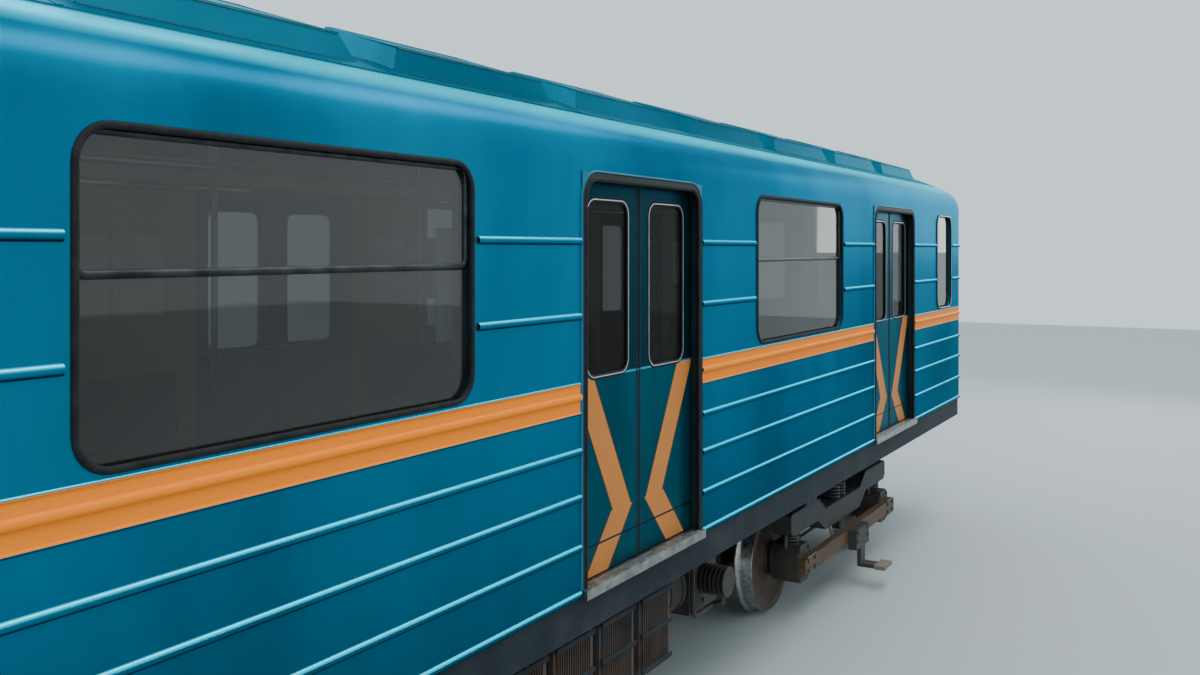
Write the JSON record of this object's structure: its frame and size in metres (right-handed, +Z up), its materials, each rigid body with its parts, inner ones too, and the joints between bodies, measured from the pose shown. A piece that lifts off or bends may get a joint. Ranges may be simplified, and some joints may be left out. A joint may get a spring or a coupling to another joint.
{
  "type": "metro car",
  "caption": "Metro car with ribbed sides, sliding double-leaf doors, wide windows, roof ventilators, motor bogies, hinged end doors and swinging couplers.",
  "frame": {"origin": "on the floor under the middle of the car, at the height of the flanges' tips", "axes": "+X along the car towards its front end, +Y to its left, +Z up"},
  "size_m": [19.364, 2.9, 3.7386],
  "materials": {
    "body_paint": "glossy enamel",
    "roof_paint": "glossy enamel",
    "vent_paint": "dusty enamel",
    "door_paint": "enamel",
    "portal_paint": "enamel",
    "window_glass": "clear, slightly smoked",
    "dark_trim": "satin",
    "worn_steel": "worn tread plate",
    "floor_covering": "sheet floor covering",
    "frame_paint": "matt underframe paint",
    "bench_paint": "satin",
    "seat_covering": "padded covering",
    "polished_rail": "polished tube",
    "lamp_cover": "opal",
    "equipment_paint": "matt, dusty",
    "resistor_steel": "heat-stained steel",
    "bogie_paint": "matt, oily",
    "bogie_casting": "rough casting",
    "collector_wood": "oiled beam",
    "wheel_steel": "rolled steel with bright treads",
    "coupler_casting": "rough casting"
  },
  "bodies": {
    "carbody": {"side_wall_left": "body_paint", "side_wall_right": "body_paint", "end_wall_front": "body_paint", "end_wall_rear": "body_paint", "roof": "roof_paint", "roof_vents": "vent_paint", "cant_rail_left": "body_paint", "cant_rail_right": "body_paint", "draft_gear_front": "frame_paint", "draft_gear_rear": "frame_paint", "window_panes": "window_glass", "sash_bars": "dark_trim", "door_portals": "portal_paint", "door_sills": "worn_steel", "floor": "floor_covering", "underframe": "frame_paint", "bench_frames": "bench_paint", "bench_cushions": "seat_covering", "handrails": "polished_rail", "ceiling_lamps": "lamp_cover", "floor_cases": "equipment_paint", "resistor_bank": "resistor_steel", "air_reservoirs": "equipment_paint", "compressor": "equipment_paint"},
    "bogie_front": {"bogie_frame_front": "bogie_paint", "bogie_bolster_front": "bogie_paint", "suspension_front": "bogie_casting", "traction_motors_front": "bogie_casting", "collector_gear_front": "collector_wood"},
    "wheelset_front_outer": {"wheelset_front_outer": "wheel_steel"},
    "wheelset_front_inner": {"wheelset_front_inner": "wheel_steel"},
    "coupler_front": {"coupler_front": "coupler_casting"},
    "end_door_front": {"end_door_front": "body_paint"},
    "bogie_rear": {"bogie_frame_rear": "bogie_paint", "bogie_bolster_rear": "bogie_paint", "suspension_rear": "bogie_casting", "traction_motors_rear": "bogie_casting", "collector_gear_rear": "collector_wood"},
    "wheelset_rear_outer": {"wheelset_rear_outer": "wheel_steel"},
    "wheelset_rear_inner": {"wheelset_rear_inner": "wheel_steel"},
    "coupler_rear": {"coupler_rear": "coupler_casting"},
    "end_door_rear": {"end_door_rear": "body_paint"},
    "leaf_left_1_front": {"leaf_left_1_front": "door_paint"},
    "leaf_left_1_rear": {"leaf_left_1_rear": "door_paint"},
    "leaf_left_2_front": {"leaf_left_2_front": "door_paint"},
    "leaf_left_2_rear": {"leaf_left_2_rear": "door_paint"},
    "leaf_left_3_front": {"leaf_left_3_front": "door_paint"},
    "leaf_left_3_rear": {"leaf_left_3_rear": "door_paint"},
    "leaf_left_4_front": {"leaf_left_4_front": "door_paint"},
    "leaf_left_4_rear": {"leaf_left_4_rear": "door_paint"},
    "leaf_right_1_front": {"leaf_right_1_front": "door_paint"},
    "leaf_right_1_rear": {"leaf_right_1_rear": "door_paint"},
    "leaf_right_2_front": {"leaf_right_2_front": "door_paint"},
    "leaf_right_2_rear": {"leaf_right_2_rear": "door_paint"},
    "leaf_right_3_front": {"leaf_right_3_front": "door_paint"},
    "leaf_right_3_rear": {"leaf_right_3_rear": "door_paint"},
    "leaf_right_4_front": {"leaf_right_4_front": "door_paint"},
    "leaf_right_4_rear": {"leaf_right_4_rear": "door_paint"}
  },
  "joints": [
    {"name": "bogie_front_swing", "type": "hinge", "parent": "carbody", "child": "bogie_front", "pos_m": [6.3, 0, 0.95], "axis": [0, 0, 1], "range_deg": [-6, 6]},
    {"name": "wheelset_front_outer_spin", "type": "hinge", "parent": "bogie_front", "child": "wheelset_front_outer", "pos_m": [7.35, 0, 0.4205], "axis": [0, 1, 0], "continuous": true},
    {"name": "wheelset_front_inner_spin", "type": "hinge", "parent": "bogie_front", "child": "wheelset_front_inner", "pos_m": [5.25, 0, 0.4205], "axis": [0, 1, 0], "continuous": true},
    {"name": "coupler_front_swing", "type": "hinge", "parent": "carbody", "child": "coupler_front", "pos_m": [8.56, 0, 0.793], "axis": [0, 0, 1], "range_deg": [-20, 20]},
    {"name": "end_door_front_hinge", "type": "hinge", "parent": "carbody", "child": "end_door_front", "pos_m": [9.295, -0.292, 2], "axis": [0, 0, 1], "range_deg": [0, 90]},
    {"name": "bogie_rear_swing", "type": "hinge", "parent": "carbody", "child": "bogie_rear", "pos_m": [-6.3, 0, 0.95], "axis": [0, 0, 1], "range_deg": [-6, 6]},
    {"name": "wheelset_rear_outer_spin", "type": "hinge", "parent": "bogie_rear", "child": "wheelset_rear_outer", "pos_m": [-7.35, 0, 0.4205], "axis": [0, 1, 0], "continuous": true},
    {"name": "wheelset_rear_inner_spin", "type": "hinge", "parent": "bogie_rear", "child": "wheelset_rear_inner", "pos_m": [-5.25, 0, 0.4205], "axis": [0, 1, 0], "continuous": true},
    {"name": "coupler_rear_swing", "type": "hinge", "parent": "carbody", "child": "coupler_rear", "pos_m": [-8.56, 0, 0.793], "axis": [0, 0, 1], "range_deg": [-20, 20]},
    {"name": "end_door_rear_hinge", "type": "hinge", "parent": "carbody", "child": "end_door_rear", "pos_m": [-9.295, 0.292, 2], "axis": [0, 0, 1], "range_deg": [0, 90]},
    {"name": "leaf_left_1_front_slide", "type": "slide", "parent": "carbody", "child": "leaf_left_1_front", "axis": [1, 0, 0], "range_m": [0, 0.6]},
    {"name": "leaf_left_1_rear_slide", "type": "slide", "parent": "carbody", "child": "leaf_left_1_rear", "axis": [-1, 0, 0], "range_m": [0, 0.6]},
    {"name": "leaf_left_2_front_slide", "type": "slide", "parent": "carbody", "child": "leaf_left_2_front", "axis": [1, 0, 0], "range_m": [0, 0.6]},
    {"name": "leaf_left_2_rear_slide", "type": "slide", "parent": "carbody", "child": "leaf_left_2_rear", "axis": [-1, 0, 0], "range_m": [0, 0.6]},
    {"name": "leaf_left_3_front_slide", "type": "slide", "parent": "carbody", "child": "leaf_left_3_front", "axis": [1, 0, 0], "range_m": [0, 0.6]},
    {"name": "leaf_left_3_rear_slide", "type": "slide", "parent": "carbody", "child": "leaf_left_3_rear", "axis": [-1, 0, 0], "range_m": [0, 0.6]},
    {"name": "leaf_left_4_front_slide", "type": "slide", "parent": "carbody", "child": "leaf_left_4_front", "axis": [1, 0, 0], "range_m": [0, 0.6]},
    {"name": "leaf_left_4_rear_slide", "type": "slide", "parent": "carbody", "child": "leaf_left_4_rear", "axis": [-1, 0, 0], "range_m": [0, 0.6]},
    {"name": "leaf_right_1_front_slide", "type": "slide", "parent": "carbody", "child": "leaf_right_1_front", "axis": [1, 0, 0], "range_m": [0, 0.6]},
    {"name": "leaf_right_1_rear_slide", "type": "slide", "parent": "carbody", "child": "leaf_right_1_rear", "axis": [-1, 0, 0], "range_m": [0, 0.6]},
    {"name": "leaf_right_2_front_slide", "type": "slide", "parent": "carbody", "child": "leaf_right_2_front", "axis": [1, 0, 0], "range_m": [0, 0.6]},
    {"name": "leaf_right_2_rear_slide", "type": "slide", "parent": "carbody", "child": "leaf_right_2_rear", "axis": [-1, 0, 0], "range_m": [0, 0.6]},
    {"name": "leaf_right_3_front_slide", "type": "slide", "parent": "carbody", "child": "leaf_right_3_front", "axis": [1, 0, 0], "range_m": [0, 0.6]},
    {"name": "leaf_right_3_rear_slide", "type": "slide", "parent": "carbody", "child": "leaf_right_3_rear", "axis": [-1, 0, 0], "range_m": [0, 0.6]},
    {"name": "leaf_right_4_front_slide", "type": "slide", "parent": "carbody", "child": "leaf_right_4_front", "axis": [1, 0, 0], "range_m": [0, 0.6]},
    {"name": "leaf_right_4_rear_slide", "type": "slide", "parent": "carbody", "child": "leaf_right_4_rear", "axis": [-1, 0, 0], "range_m": [0, 0.6]}
  ],
  "couplings": [
    {"joint": "leaf_left_1_rear_slide", "follows": "leaf_left_1_front_slide", "ratio": 1},
    {"joint": "leaf_left_2_rear_slide", "follows": "leaf_left_2_front_slide", "ratio": 1},
    {"joint": "leaf_left_3_rear_slide", "follows": "leaf_left_3_front_slide", "ratio": 1},
    {"joint": "leaf_left_4_rear_slide", "follows": "leaf_left_4_front_slide", "ratio": 1},
    {"joint": "leaf_right_1_rear_slide", "follows": "leaf_right_1_front_slide", "ratio": 1},
    {"joint": "leaf_right_2_rear_slide", "follows": "leaf_right_2_front_slide", "ratio": 1},
    {"joint": "leaf_right_3_rear_slide", "follows": "leaf_right_3_front_slide", "ratio": 1},
    {"joint": "leaf_right_4_rear_slide", "follows": "leaf_right_4_front_slide", "ratio": 1}
  ]
}
